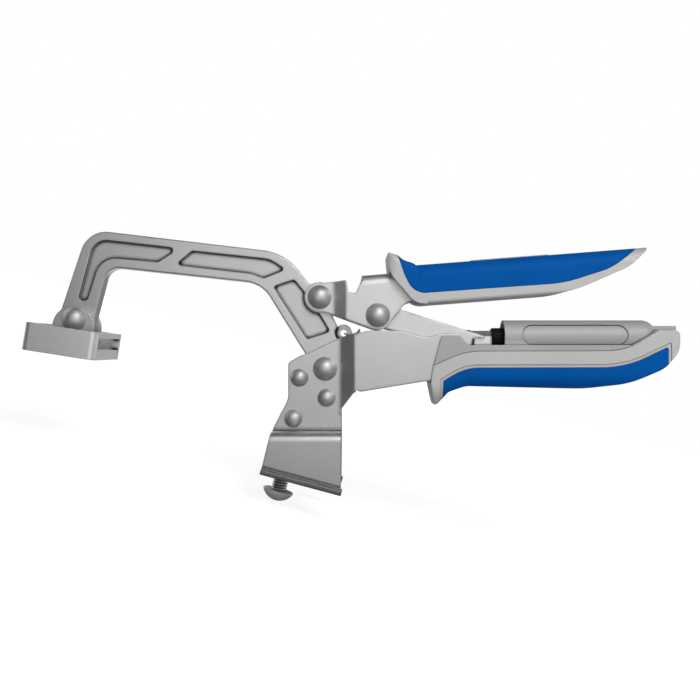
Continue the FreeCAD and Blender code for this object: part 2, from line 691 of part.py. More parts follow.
def barrel_form():
    """The barrel's outer form, with its rounded rear end."""
    barrel = bar(BARREL_RADIUS, BARREL_MOUTH, BARREL_END)
    rear = [e for e in barrel.Edges
            if all(abs(v.Point.x - BARREL_END) < 1e-6 for v in e.Vertexes) and e.Length > 2 * BARREL_RADIUS]
    return barrel.makeFillet(BARREL_ROUND, rear)


def make_housing():
    walls = slab([(52.9, 1.6), (52.9, 0.0), (160.0, 0.0), (160.0, WALL_TOP), (69.3, WALL_TOP, 2.0),
                  (65.0, BOSS_TOP, 1.5), (56.9, BOSS_TOP, 1.5)], -HOUSING_HALF, HOUSING_HALF)
    barrel = barrel_form()
    under = slab(PARTING + [(163.2, 30.0), (52.9, 30.0)], -20, 20)
    keel = block(66.6, KEEL_END, -KEEL_HALF, KEEL_HALF, KEEL_LOW, AXIS_HEIGHT)
    tail = block(TAIL_START, TAIL_END, -TAIL_HALF, TAIL_HALF, TAIL_LOW, TAIL_TOP)
    housing = walls.common(under).fuse([barrel.common(under), keel, tail])
    oval_x, oval_z = OVAL_CENTRE
    oval = slab([(oval_x + sx * OVAL_LENGTH / 2, oval_z + sz * OVAL_HEIGHT / 2, OVAL_HEIGHT / 2 - 0.01)
                 for sx, sz in ((-1, -1), (1, -1), (1, 1), (-1, 1))], -FAR, FAR)
    oval = oval.cut(bar(BARREL_RADIUS - OVAL_DEPTH, BARREL_MOUTH, BARREL_END))
    oval = oval.cut(block(0, FAR, -FAR, FAR, 0, WALL_TOP))
    tools = [housing_space(), oval, bar(MOUTH_BORE, BARREL_MOUTH - 1, BUSH_START + BUSH_LENGTH),
             bar(CHAMBER_RADIUS, BUSH_START, CHAMBER_END)]
    return housing.cut(tools)


def screw_seat(point):
    """Depth at which a screw's head sits on the far side."""
    if point[1] > WALL_TOP:
        return math.sqrt(BARREL_RADIUS ** 2 - (point[1] - AXIS_HEIGHT) ** 2) - SCREW_SINK
    face = SHELL_HALF if point[0] > 80 else HOUSING_HALF
    return face - SCREW_SINK if point[0] > 80 else face - 1.2


def screw_cutters():
    cutters = []
    for point in HOUSING_SCREWS:
        seat = screw_seat(point)
        cutters.append(disc(point, SCREW_SHANK, -SCREW_BITE, seat))
        cutters.append(disc(point, SCREW_CAP + FIT_GAP, seat, SHELL_HALF + 2))
    return cutters


def make_housing_half(side):
    half = block(-FAR, FAR, min(0, FAR * side), max(0, FAR * side), -FAR, FAR)
    return whole(make_housing().common(half).cut(screw_cutters()))


def make_housing_screws():
    screws = []
    for point in HOUSING_SCREWS:
        seat = screw_seat(point)
        head = disc(point, SCREW_CAP, seat, seat + SCREW_CAP_HEIGHT)
        shank = disc(point, SCREW_SHANK, -SCREW_BITE, seat)
        recess = block(point[0] - 1.7, point[0] + 1.7, seat + 0.8, seat + 3, point[1] - 0.35, point[1] + 0.35)
        cross = block(point[0] - 0.35, point[0] + 0.35, seat + 0.8, seat + 3, point[1] - 1.7, point[1] + 1.7)
        screws.append(whole(head.fuse(shank).cut([recess, cross])))
    return Part.makeCompound(screws)


UNDERSIDE = [
    (163.2, 18.9), (172.4, 18.6, 2.4), (172.4, 9.0, 10.0), (165.6, 0.4, 16.0), (148.0, -7.2, 40.0),
    (126.0, -9.9, 60.0), (68.5, -8.4, 14.0), (60.0, -11.4, 5.0), (54.9, -18.2, 0.9), (53.5, -17.6, 0.6),
    (51.6, -6.7),
]
LOWER_OUTLINE = PARTING + UNDERSIDE
LOWER_COVER = [
    (57.7, -5.8, 0.8), (68.5, 0.5, 24.0), (146.0, 0.7, 50.0), (166.8, 10.7, 0.8), (166.8, -30.0),
    (57.7, -30.0),
]
LOWER_FLOOR = -9.9
GUARD_TIP = -18.2


def lower_body(inset):
    """The outer form of the lower grip, drawn in by inset for what lies under the soft cover."""
    half = SHELL_HALF - inset
    floor = LOWER_FLOOR + inset
    side = slab(LOWER_OUTLINE, -half, half)
    round_low = 8.0 - inset
    tip = GUARD_TIP - 0.2
    tube = [(-half, 30.0), (half, 30.0), (half, floor, round_low), (-half, floor, round_low)]
    guard = [(-half, 30.0), (half, 30.0), (half, tip, 11.0), (-half, tip, 11.0)]
    throat = Part.makeLoft([section(guard, GUARD_START), section(tube, GUARD_END)], True, True)
    form = throat.fuse([lengthwise(guard, 0.0, GUARD_START), lengthwise(tube, GUARD_END, FAR)])
    return side.common(form)


def cover_outline(margin):
    """Outline of the lower soft cover, wider by the margin."""
    shifts = [(-1.0, 0.57), (-0.27, 1.0), (-0.23, 1.0), (1.0, 1.59), (1.0, 0.0), (-1.0, 0.0)]
    widened = []
    for point, (dx, dz) in zip(LOWER_COVER, shifts):
        widened.append((point[0] + dx * margin, point[1] + dz * margin) + point[2:])
    return widened


def cover_bed():
    """What the shell keeps under its soft cover."""
    skin = COVER_SKIN
    half = SHELL_HALF - skin
    start = LOWER_COVER[0][0] + skin
    end = LOWER_COVER[3][0] - skin
    bed = slab([(start, -30.0), (start, -5.8), (68.5, 0.5), (146.0, 0.7), (end, 10.7), (end, 4.6, 3.0),
                (147.4, -7.1 + skin, 30.0), (125.8, LOWER_FLOOR + skin, 40.0), (66.6, -8.4 + skin, 8.0),
                (60.6, -9.6 + skin)], -half, half)
    return lower_body(skin).common(bed)


def make_lower_grip_shell():
    band = slab(cover_outline(0.0), -FAR, FAR)
    border = slab(cover_outline(BORDER_WIDTH), -FAR, FAR).cut(lower_body(BORDER_STEP))
    core = cover_bed().common(band)
    shell = lower_body(0.0).cut([band, border]).fuse(core)
    keel = block(66.6, KEEL_END, -KEEL_HALF, KEEL_HALF, KEEL_LOW, AXIS_HEIGHT)
    tail = block(TAIL_START, TAIL_END, -TAIL_HALF, TAIL_HALF, TAIL_LOW, TAIL_TOP)
    return whole(shell.cut([housing_space(), keel, tail, barrel_form()] + screw_cutters()))


def make_lower_grip_cover():
    band = slab(cover_outline(0.0), -FAR, FAR)
    return whole(lower_body(0.0).common(band).cut([cover_bed(), housing_space()]))


# Upper grip

GRIP_X, GRIP_Z = GRIP_ORIGIN
UPPER_OUTLINE = [
    (40.0, 70.0), (157.6, 70.0), (157.0, 58.4, 2.2), (147.4, 49.6, 20.0), (118.5, 37.02, 60.0),
    (GRIP_X, GRIP_Z), (44.4, 31.3, 9.0), (40.0, 36.4),
]
UPPER_LIP = [
    (30.2, 57.0, 1.7), (34.6, 57.0, 1.4), (37.2, 53.0, 8.0), (45.0, 50.8, 6.0), (50.0, GRIP_Z + 1.0),
    (50.0, GRIP_Z), (44.4, 31.3, 9.0), (31.3, 46.6, 14.0),
]
UPPER_COVER = [
    (34.9, 70.0), (34.9, 56.5), (38.4, 46.0, 24.0), (43.2, 36.4, 9.0), (116.0, 41.6, 60.0),
    (138.5, 48.8, 30.0), (153.6, 60.0), (153.6, 70.0),
]


def along_grip(points, x_low, x_high):
    """A section of y and height points carried along the rising grip."""
    rise = math.tan(math.radians(GRIP_RISE))
    face = Part.Face(outline(points, 0.0))
    face.rotate(Vector(0, 0, 0), Vector(0, 0, 1), 90)
    low_z = GRIP_Z + (x_low - GRIP_X) * rise
    face.translate(Vector(x_low, 0, low_z))
    return face.extrude(Vector(x_high - x_low, 0, (x_high - x_low) * rise))


def upper_body(inset):
    """The outer form of the upper grip, drawn in by inset for what lies under the soft cover."""
    half = GRIP_HALF - inset
    top = GRIP_DEEP - inset
    rounding = GRIP_ROUND - inset * 1.2
    form = [(-half, 0, GRIP_UNDER), (half, 0, GRIP_UNDER), (half, top, rounding), (-half, top, rounding)]
    beam = along_grip(form, 36.0, 165.0).common(slab(UPPER_OUTLINE, -half, half))
    plan = pillar([(29.0, -half, LIP_ROUND), (60.0, -half), (60.0, half), (29.0, half, LIP_ROUND)], 20, 80)
    peak = UPPER_LIP[0][1] + 0.4
    front = [(-half, 10.0), (half, 10.0), (half, peak, LIP_CROWN), (-half, peak, LIP_CROWN)]
    top = GRIP_Z + top
    back = [(-half, 10.0), (half, 10.0), (half, top, rounding), (-half, top, rounding)]
    crown = Part.makeLoft([section(front, 29.0), section(back, 50.0)], True, True)
    lip = slab(lip_outline(inset), -half, half).common(plan).common(crown)
    return beam.fuse(lip)


def lip_outline(inset):
    """The upper lip from the side, its hollow top lowered by inset under the soft cover."""
    lowered = list(UPPER_LIP)
    for i in (2, 3):
        x, z, rounding = UPPER_LIP[i]
        lowered[i] = (x, z - inset, rounding)
    return lowered


def tang_space():
    """Room in the grip for the lever."""
    half = lever_wide + FIT_GAP
    rise = FIT_GAP
    points = [(20.0, roof_height(20.0) + rise), (TANG_END + rise, roof_height(TANG_END) + rise),
              (TANG_END + rise, roof_height(TANG_END) - 9.0 - rise), (62.0, 37.0 - rise, 20.0),
              (46.0, 34.6 - rise, 6.0), (38.8, 31.8, 4.0), (30.0, 20.0), (20.0, 20.0)]
    return slab(points, -half, half)


def make_upper_grip_rim():
    cover = slab(UPPER_COVER, -FAR, FAR)
    core = upper_body(COVER_SKIN).common(cover).common(
        slab([(38.0, 70.0), (38.0, 20.0), (150.0, 20.0), (150.0, 70.0)], -FAR, FAR))
    rim = upper_body(0.0).cut(cover).fuse(core)
    return whole(rim.cut(tang_space()))


def make_upper_grip_cover():
    cover = slab(UPPER_COVER, -FAR, FAR)
    core = upper_body(COVER_SKIN).common(
        slab([(38.0, 70.0), (38.0, 20.0), (150.0, 20.0), (150.0, 70.0)], -FAR, FAR))
    soft = upper_body(0.0).common(cover).cut([core, tang_space()])
    return whole(soft.cut(inlay_bar(0.0)))


def inlay_bar(proud):
    start, end = INLAY
    strip = [(-INLAY_HALF, GRIP_DEEP - 1.0), (INLAY_HALF, GRIP_DEEP - 1.0),
               (INLAY_HALF, GRIP_DEEP + proud), (-INLAY_HALF, GRIP_DEEP + proud)]
    return along_grip(strip, start, end)


def make_grip_inlay():
    return whole(inlay_bar(INLAY_PROUD))


# Pad, hung from the arm

def hung(shape):
    """Takes a piece drawn about the pad's pivot to its place on the arm."""
    result = turned(shape, -PAD_ANGLE)
    result.translate(Vector(PAD_X, 0, PAD_Z))
    return result


def make_pad_shoe():
    half_length = PAD_LENGTH / 2
    half_width = PAD_WIDTH / 2
    shoe = pillar([(PAD_SHIFT + sx * half_length, sy * half_width, PAD_CORNER)
                   for sx, sy in ((-1, -1), (1, -1), (1, 1), (-1, 1))], PAD_FACE, PAD_TOP)
    inner_x = half_length - PAD_RAIL
    inner_y = half_width - PAD_WALL
    floor = PAD_FACE + PAD_FLOOR
    tray = block(PAD_SHIFT - inner_x, PAD_SHIFT + inner_x, -inner_y, inner_y, floor, PAD_TOP + 1)
    window = block(-FAR, FAR, -inner_y, inner_y, floor, PAD_TOP - PAD_RAIL_HIGH)
    return hung(whole(shoe.cut([tray, window])))


def make_pad_bracket():
    inner_x = PAD_LENGTH / 2 - PAD_RAIL - FIT_GAP
    inner_y = PAD_WIDTH / 2 - PAD_WALL - FIT_GAP
    floor = PAD_FACE + PAD_FLOOR
    base = block(PAD_SHIFT - inner_x, PAD_SHIFT + inner_x, -inner_y, inner_y, floor, floor + BRACKET_THICK)
    ear = disc((0, EAR_CENTRE), EAR_RADIUS, -ear_out, -ear_in)
    foot = block(-EAR_RADIUS, EAR_RADIUS, -ear_out, -ear_in, floor, EAR_CENTRE)
    ear = ear.common(block(-20, 20, -20, 20, EAR_CENTRE - 0.5, 20)).fuse(foot)
    bracket = base.fuse([ear, mirrored(ear)])
    return hung(whole(bracket.cut(disc((0, 0), BIG_SHANK + BORE_GAP, -ear_out, ear_out))))


# The whole clamp

PIECES = {
    "side_plate_left": make_side_plate,
    "side_plate_right": lambda: mirrored(make_side_plate()),
    "stud_block": make_stud_block,
    "foot_stud": make_foot_stud,
    "frame_rivets": make_frame_rivets,
    "arm_pivot_rivet": lambda: rivet((0, 0), plate_out, BIG_SHANK, BIG_HEAD, BIG_DOME),
    "spring_anchor_pin": make_spring_anchor_pin,
    "lower_housing_left": lambda: make_housing_half(-1),
    "lower_housing_right": lambda: make_housing_half(1),
    "housing_screws": make_housing_screws,
    "lower_grip_shell": make_lower_grip_shell,
    "lower_grip_cover": make_lower_grip_cover,
    "barrel_bush": make_barrel_bush,
    "barrel_spring": make_barrel_spring,
    "return_spring": make_return_spring,
    "arm": make_arm,
    "pad_rivet": lambda: rivet(PAD_PIVOT, ear_out + SIDE_GAP / 2, BIG_SHANK, BIG_HEAD, BIG_DOME),
    "pad_shoe": make_pad_shoe,
    "pad_bracket": make_pad_bracket,
    "lever": make_lever,
    "lever_rivet": lambda: rivet(LEVER_PIVOT, lever_near, BIG_SHANK, BIG_HEAD, BIG_DOME),
    "link_rivet": lambda: rivet(LINK_PIVOT, lever_wide, BIG_SHANK, BIG_HEAD, BIG_DOME),
    "upper_grip_rim": make_upper_grip_rim,
    "upper_grip_cover": make_upper_grip_cover,
    "grip_inlay": make_grip_inlay,
    "link": make_link,
    "link_end_pin": make_link_end_pin,
    "trunnion": make_trunnion,
    "thumb_wheel": make_thumb_wheel,
    "adjusting_screw": make_adjusting_screw,
}


def placed(shape):
    """Sets the clamp on its foot: the stud's axis crosses the foot's face at the origin."""
    result = shape.copy()
    result.translate(Vector(-FOOT_ORIGIN[0], 0, -FOOT_ORIGIN[1]))
    return turned(result, FOOT_TILT)


def main():
    os.makedirs("parts", exist_ok=True)
    for name, make in PIECES.items():
        placed(make()).exportStep(os.path.join("parts", name + ".step"))


main()
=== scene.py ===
"""Bench clamp, dressed: satin nickel steel, grey plastic, blue soft grips, threads and springs."""
import bmesh
import bpy
import math
from mathutils import Matrix, Vector


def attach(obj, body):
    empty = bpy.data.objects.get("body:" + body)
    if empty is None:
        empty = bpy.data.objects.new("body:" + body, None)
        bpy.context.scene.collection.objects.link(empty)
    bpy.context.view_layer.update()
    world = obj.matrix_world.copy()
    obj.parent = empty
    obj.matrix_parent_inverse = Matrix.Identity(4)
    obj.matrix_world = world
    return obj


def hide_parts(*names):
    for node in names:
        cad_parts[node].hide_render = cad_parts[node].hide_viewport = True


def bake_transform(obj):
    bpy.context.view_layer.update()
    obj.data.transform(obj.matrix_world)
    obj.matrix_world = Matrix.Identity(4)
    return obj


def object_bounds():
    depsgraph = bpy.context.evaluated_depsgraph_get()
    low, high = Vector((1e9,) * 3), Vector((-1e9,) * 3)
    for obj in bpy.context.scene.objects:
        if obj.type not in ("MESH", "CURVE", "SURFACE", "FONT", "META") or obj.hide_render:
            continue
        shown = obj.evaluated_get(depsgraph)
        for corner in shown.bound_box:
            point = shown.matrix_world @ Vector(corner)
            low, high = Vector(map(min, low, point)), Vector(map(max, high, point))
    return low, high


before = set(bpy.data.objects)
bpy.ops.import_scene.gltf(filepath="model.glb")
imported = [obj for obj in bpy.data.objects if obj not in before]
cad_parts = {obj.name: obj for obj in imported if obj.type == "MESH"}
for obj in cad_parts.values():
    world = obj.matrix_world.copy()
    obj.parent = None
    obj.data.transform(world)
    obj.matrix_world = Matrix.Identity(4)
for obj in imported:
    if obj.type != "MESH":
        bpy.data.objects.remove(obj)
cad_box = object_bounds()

MM = 0.001
WORLD_LIGHT = 0.22
KEY_POWER = 3.0
FRONT_POWER = 6.6
FLOOR_GREY = 0.4
FLOOR_GLOW = 0.84
HAZE_START = 0.15
HAZE_END = 0.9
STEEL_METALLIC = 0.95
STEEL_SHADE_REACH = 0.0022
PLASTIC_SHADE_REACH = 0.0008
PLASTIC_SEAM_SHADE = 0.25
LOW_EDGE_BLUR = 0.0003
TOP_SHADE_BLUR = 0.0004

# The side frame of the clamp: x along the barrel, z up from the arm's pivot, turned by the foot's angle
FOOT_TILT = math.radians(15.0)
FOOT_ORIGIN = Vector((-21.25, 0.0, -52.07))
to_row = (Matrix.Rotation(-FOOT_TILT, 4, "Y") @ Matrix.Scale(MM, 4) @ Matrix.Translation(-FOOT_ORIGIN))


def at(x, z, y=0.0):
    """A point of the side frame, in millimetres, as a point of the row."""
    return to_row @ Vector((x, y, z))


# Camera: level and square to the clamp, rolled so that the barrel lies level in the picture

EYE = (12.25, 9.21)
EYE_DISTANCE = 430.0
FOCAL_PIXELS = 860.0

camera_data = bpy.data.cameras.new("camera")
camera = bpy.data.objects.new("camera", camera_data)
bpy.context.scene.collection.objects.link(camera)
bpy.context.scene.camera = camera
camera_data.sensor_fit = "HORIZONTAL"
camera_data.sensor_width = 36.0
camera_data.lens = 36.0 * FOCAL_PIXELS / 700.0
camera_data.clip_start = 0.01
camera_data.clip_end = 20.0
right = Vector((math.cos(FOOT_TILT), 0.0, math.sin(FOOT_TILT)))
upward = Vector((-math.sin(FOOT_TILT), 0.0, math.cos(FOOT_TILT)))
backward = Vector((0.0, -1.0, 0.0))
camera.matrix_world = (Matrix.Translation(at(EYE[0], EYE[1], -EYE_DISTANCE))
                       @ Matrix((right, upward, backward)).transposed().to_4x4())


# Materials

class Signal:
    """A number, colour or vector on its way through a material's nodes."""

    def __init__(self, finish, socket):
        self.finish = finish
        self.socket = socket

    def maths(self, operation, *others, swapped=False):
        values = [self] + list(others)
        if swapped:
            values.reverse()
        return self.finish.add("ShaderNodeMath", dict(enumerate(values)), operation=operation)

    def __add__(self, other):
        return self.maths("ADD", other)

    def __radd__(self, other):
        return self.maths("ADD", other)

    def __sub__(self, other):
        return self.maths("SUBTRACT", other)

    def __rsub__(self, other):
        return self.maths("SUBTRACT", other, swapped=True)

    def __mul__(self, other):
        return self.maths("MULTIPLY", other)

    def __rmul__(self, other):
        return self.maths("MULTIPLY", other)

    def __truediv__(self, other):
        return self.maths("DIVIDE", other)

    def __rtruediv__(self, other):
        return self.maths("DIVIDE", other, swapped=True)

    def __pow__(self, other):
        return self.maths("POWER", other)

    def between(self, low, high):
        """0 below low, 1 above high and smooth in between."""
        return self.finish.add("ShaderNodeMapRange", {"Value": self, "From Min": low, "From Max": high},
                               interpolation_type="SMOOTHSTEP")


class Finish:
    """One material, built node by node."""

    def __init__(self, name, **constants):
        self.material = bpy.data.materials.new(name)
        self.material.use_nodes = True
        self.tree = self.material.node_tree
        self.shader = self.tree.nodes["Principled BSDF"]
        for socket, value in constants.items():
            self.shader.inputs[socket.replace("_", " ")].default_value = value
        self.place = self.add("ShaderNodeTexCoord", {}, output="Object")

    def feed(self, socket, value):
        if isinstance(value, Signal):
            self.tree.links.new(value.socket, socket)
        else:
            socket.default_value = value

    def add(self, kind, sockets, output=0, **settings):
        """A node with its settings, then the values or links of its sockets."""
        node = self.tree.nodes.new(kind)
        for setting, value in settings.items():
            setattr(node, setting, value)
        for socket, value in sockets.items():
            self.feed(node.inputs[socket], value)
        return Signal(self, node.outputs[output])

    def noise(self, scale, detail=2.0, roughness=0.5):
        return self.add("ShaderNodeTexNoise", {"Vector": self.place, "Scale": scale, "Detail": detail,
                                               "Roughness": roughness})

    def blend(self, factor, first, second):
        """One colour where factor is 0, the other where it is 1."""
        return self.add("ShaderNodeMix", {0: factor, 6: first, 7: second}, output=2, data_type="RGBA")

    def painted_crease_shade(self, colour, reach, depth, alone=True, low=0.72, high=0.98):
        """The colour with painted shade: darkened in corners and grooves that lie closer than reach, in
        metres.
        """
        openness = self.add("ShaderNodeAmbientOcclusion", {"Distance": reach}, output="AO", samples=8,
                            only_local=alone)
        return self.blend(openness.between(low, high), depth, colour)

    def paint(self, socket, value):
        self.feed(self.shader.inputs[socket], value)

    def relief(self, height, depth, edge=0.0):
        """Bumps of that depth in metres, on edges softened by the radius edge."""
        normal = {}
        if edge > 0:
            normal = {"Normal": self.add("ShaderNodeBevel", {"Radius": edge}, samples=4)}
        self.paint("Normal", self.add("ShaderNodeBump", {"Height": height, "Distance": depth,
                                                         "Strength": 1.0, **normal}))


def rgb(red, green, blue):
    return (red, green, blue, 1.0)


LOW_BAND_COLOUR = rgb(0.2, 0.2, 0.198)
TOP_SHADE_COLOUR = rgb(0.13, 0.13, 0.13)
CREASE_SHADE_COLOUR = rgb(0.02, 0.02, 0.02)


def steel(name, pale, dark, rough, grain, edge, low_edge=None, shade_above=None, metallic=STEEL_METALLIC):
    """Nickel plated steel: fine grain, faint clouds of tarnish, a darker band below low_edge, painted shade
    above the height shade_above of the side frame, and painted shade in corners and grooves."""
    finish = Finish(name, Metallic=metallic)
    clouds = finish.noise(28.0, 3.0)
    speck = finish.noise(grain, 2.0, 0.6)
    wear = (clouds * 0.6 + speck * 0.4).between(0.32, 0.68)
    colour = finish.blend(wear, dark, pale)
    if shade_above is not None:
        # Painted shade: the part darker above that height of the side frame, standing in for the shade on
        # its top
        height = finish.add("ShaderNodeVectorMath", {0: finish.place, 1: upward}, output="Value",
                            operation="DOT_PRODUCT")
        start = (shade_above - FOOT_ORIGIN.z) * MM
        colour = finish.blend(height.between(start - TOP_SHADE_BLUR, start + TOP_SHADE_BLUR), colour, TOP_SHADE_COLOUR)
    # Painted shade: the colour darkened by ambient occlusion in corners, grooves and round rivet heads
    colour = finish.painted_crease_shade(colour, STEEL_SHADE_REACH, CREASE_SHADE_COLOUR)
    if low_edge is not None:
        # The colour darker below the height low_edge
        height = finish.add("ShaderNodeSeparateXYZ", {"Vector": finish.place}, output="Z")
        colour = finish.blend(height.between(low_edge - LOW_EDGE_BLUR, low_edge + LOW_EDGE_BLUR), LOW_BAND_COLOUR,
                              colour)
    finish.paint("Base Color", colour)
    finish.paint("Roughness", rough + (speck - 0.5) * 0.16 + (clouds - 0.5) * 0.12)
    finish.relief(speck, 0.00003, edge)
    return finish.material


def plastic(name, pale, dark, rough, grain, depth, edge, gloss=0.5):
    """Moulded plastic with a spark-eroded grain, faint handling marks and painted shade in its seams and
    grooves.
    """
    finish = Finish(name, Specular_IOR_Level=gloss)
    clouds = finish.noise(22.0, 3.0)
    speck = finish.noise(grain, 3.0, 0.65)
    colour = finish.blend((clouds * 0.7 + speck * 0.3).between(0.3, 0.7), dark, pale)
    # Painted shade: the colour darkened by ambient occlusion in the seams between parts and in grooves
    seam_shade_colour = tuple(part * PLASTIC_SEAM_SHADE for part in dark[:3]) + (1.0,)
    finish.paint("Base Color", finish.painted_crease_shade(colour, PLASTIC_SHADE_REACH, seam_shade_colour, False, 0.5, 0.95))
    finish.paint("Roughness", rough + (clouds - 0.5) * 0.14 + (speck - 0.5) * 0.1)
    finish.relief(speck, depth, edge)
    return finish.material


forged = steel("forged nickel", rgb(0.60, 0.60, 0.59), rgb(0.54, 0.54, 0.53), 0.46, 1400.0, 0.0009)
pressed = steel("pressed nickel", rgb(0.58, 0.58, 0.57), rgb(0.53, 0.53, 0.52), 0.40, 1100.0, 0.0014,
                low_edge=0.0031)
folded = steel("folded nickel", rgb(0.66, 0.66, 0.65), rgb(0.61, 0.61, 0.60), 0.50, 1100.0, 0.0016)
riveted = steel("rivet nickel", rgb(0.61, 0.61, 0.60), rgb(0.55, 0.55, 0.54), 0.52, 1800.0, 0.0003)
cast = steel("cast nickel", rgb(0.86, 0.86, 0.85), rgb(0.78, 0.78, 0.77), 0.52, 900.0, 0.0005)
# The trunnion gets painted shade on its upper part, above 16 mm of the side frame
blocky = steel("block zinc", rgb(0.70, 0.70, 0.68), rgb(0.58, 0.58, 0.56), 0.32, 1200.0, 0.0018,
               shade_above=16.0)
bright = steel("bright zinc", rgb(0.70, 0.70, 0.68), rgb(0.58, 0.58, 0.56), 0.32, 1200.0, 0.0002)
dull = steel("dull zinc", rgb(0.62, 0.62, 0.61), rgb(0.56, 0.56, 0.55), 0.50, 1200.0, 0.0002, metallic=0.5)
wire = steel("spring wire", rgb(0.62, 0.61, 0.60), rgb(0.45, 0.44, 0.43), 0.26, 2000.0, 0.0)
housing = plastic("housing grey", rgb(0.37, 0.37, 0.365), rgb(0.33, 0.33, 0.325), 0.44, 2600.0, 0.00005,
                  0.0006)
shell = plastic("grip grey", rgb(0.49, 0.49, 0.485), rgb(0.45, 0.45, 0.445), 0.50, 2600.0, 0.00005, 0.0007)
soft_blue = plastic("grip blue", rgb(0.0006, 0.092, 0.375), rgb(0.0004, 0.076, 0.315), 0.5, 2200.0, 0.00004,
                    0.0012, 0.04)
bush_white = plastic("bush white", rgb(0.62, 0.62, 0.58), rgb(0.55, 0.55, 0.51), 0.5, 2000.0, 0.00003,
                     0.0002)

black = Finish("black oxide", Metallic=0.0, Specular_IOR_Level=0.08)
oxide = black.noise(1500.0)
black.paint("Base Color", black.blend(oxide, rgb(0.004, 0.004, 0.0045), rgb(0.009, 0.009, 0.01)))
black.paint("Roughness", 0.38 + oxide * 0.2)
black.relief(oxide, 0.00002, 0.0002)
black = black.material

COATS = {
    "arm": forged, "stud_block": forged, "side_plate_left": pressed, "side_plate_right": pressed,
    "lever": folded, "link": folded, "pad_bracket": forged, "pad_shoe": cast,
    "frame_rivets": riveted, "arm_pivot_rivet": riveted, "pad_rivet": riveted, "lever_rivet": riveted,
    "link_rivet": riveted, "foot_stud": bright, "spring_anchor_pin": bright, "housing_screws": bright,
    "link_end_pin": folded, "trunnion": blocky, "barrel_spring": wire, "return_spring": wire,
    "thumb_wheel": black, "adjusting_screw": black, "lower_housing_left": housing,
    "lower_housing_right": housing, "lower_grip_shell": shell, "upper_grip_rim": shell,
    "grip_inlay": shell, "lower_grip_cover": soft_blue, "upper_grip_cover": soft_blue,
    "barrel_bush": bush_white,
}
for node, coat in COATS.items():
    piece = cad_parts[node]
    piece.data.materials.clear()
    piece.data.materials.append(coat)


# Pieces that the scene makes itself: thread and springs

def piece_from(name, mesh, coat, body, *stands_for):
    """A finished piece on its body, in place of the CAD nodes named."""
    bmesh.ops.remove_doubles(mesh, verts=mesh.verts, dist=0.000003)
    bmesh.ops.holes_fill(mesh, edges=mesh.edges, sides=0)
    bmesh.ops.recalc_face_normals(mesh, faces=mesh.faces)
    for face in mesh.faces:
        face.smooth = True
    data = bpy.data.meshes.new(name)
    mesh.to_mesh(data)
    mesh.free()
    data.materials.append(coat)
    piece = bpy.data.objects.new(name, data)
    bpy.context.scene.collection.objects.link(piece)
    if body is not None:
        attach(piece, body)
    if stands_for:
        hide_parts(*stands_for)
    return piece


def profile(mesh, points):
    """An open chain of radius and height points, in millimetres, ready to spin about the stud."""
    verts = [mesh.verts.new((radius * MM, 0.0, height * MM)) for radius, height in points]
    edges = [mesh.edges.new(pair) for pair in zip(verts, verts[1:])]
    return verts + edges


STUD_RADIUS = 3.9
STUD_ROOT = 3.3
STUD_SEAT = -8.9
STUD_TOP = 13.5
STUD_PITCH = 1.25
ROOT_FLAT = 0.16
CREST_START = 0.58
CREST_END = 0.74
HEAD_RADIUS = 7.6
HEAD_EDGE = 0.6
HEAD_BREAK = 0.15
HEAD_DOME = 5.3
HEAD_BORE = 1.0
TURN_STEPS = 48
DOME_STEPS = 10


def foot_stud():
    """Rolled thread by one spin that climbs a pitch in a turn, and a domed head under it."""
    mesh = bmesh.new()
    chain = []
    height = STUD_SEAT - STUD_PITCH * 0.5
    while height < STUD_TOP:
        chain += [(STUD_ROOT, height), (STUD_ROOT, height + ROOT_FLAT), (STUD_RADIUS, height + CREST_START),
                  (STUD_RADIUS, height + CREST_END)]
        height += STUD_PITCH
    bmesh.ops.spin(mesh, geom=profile(mesh, chain), cent=(0, 0, 0), axis=(0, 0, 1),
                   dvec=(0, 0, STUD_PITCH * MM / TURN_STEPS), angle=math.tau, steps=TURN_STEPS)
    piece_from("foot_stud_thread", mesh, bright, "frame", "foot_stud")
    ball = (HEAD_RADIUS ** 2 + (HEAD_DOME - HEAD_EDGE) ** 2) / (2 * (HEAD_DOME - HEAD_EDGE))
    reach = math.asin(HEAD_RADIUS / ball)
    chain = [(STUD_ROOT - HEAD_BORE, STUD_SEAT), (HEAD_RADIUS - HEAD_BREAK, STUD_SEAT),
             (HEAD_RADIUS, STUD_SEAT - HEAD_BREAK), (HEAD_RADIUS, STUD_SEAT - HEAD_EDGE)]
    for step in range(1, DOME_STEPS):
        angle = reach * (1 - step / DOME_STEPS)
        chain.append((ball * math.sin(angle), STUD_SEAT - HEAD_DOME + ball * (1 - math.cos(angle))))
    chain.append((0.0, STUD_SEAT - HEAD_DOME))
    mesh = bmesh.new()
    bmesh.ops.spin(mesh, geom=profile(mesh, chain), cent=(0, 0, 0), axis=(0, 0, 1), angle=math.tau,
                   steps=TURN_STEPS, use_merge=True)
    piece_from("foot_stud_head", mesh, dull, "frame", "foot_stud")


def carry(mesh, ring, centre, axis, angle, steps, climb=0.0):
    """Sweeps a ring of wire about an axis, in the spring's own frame; returns the last ring."""
    axis = Vector(axis)
    made = bmesh.ops.spin(mesh, geom=ring, cent=Vector(centre) * MM, axis=axis,
                          dvec=axis * (climb * MM / steps), angle=math.radians(angle), steps=steps)
    return made["geom_last"]


def wire_ring(mesh, radius):
    """A ring of wire, square to the y axis, ready to carry."""
    ring = bmesh.ops.create_circle(mesh, segments=10, radius=radius * MM)["verts"] + mesh.edges[:]
    bmesh.ops.rotate(mesh, verts=mesh.verts, matrix=Matrix.Rotation(math.radians(90), 3, "X"))
    return ring


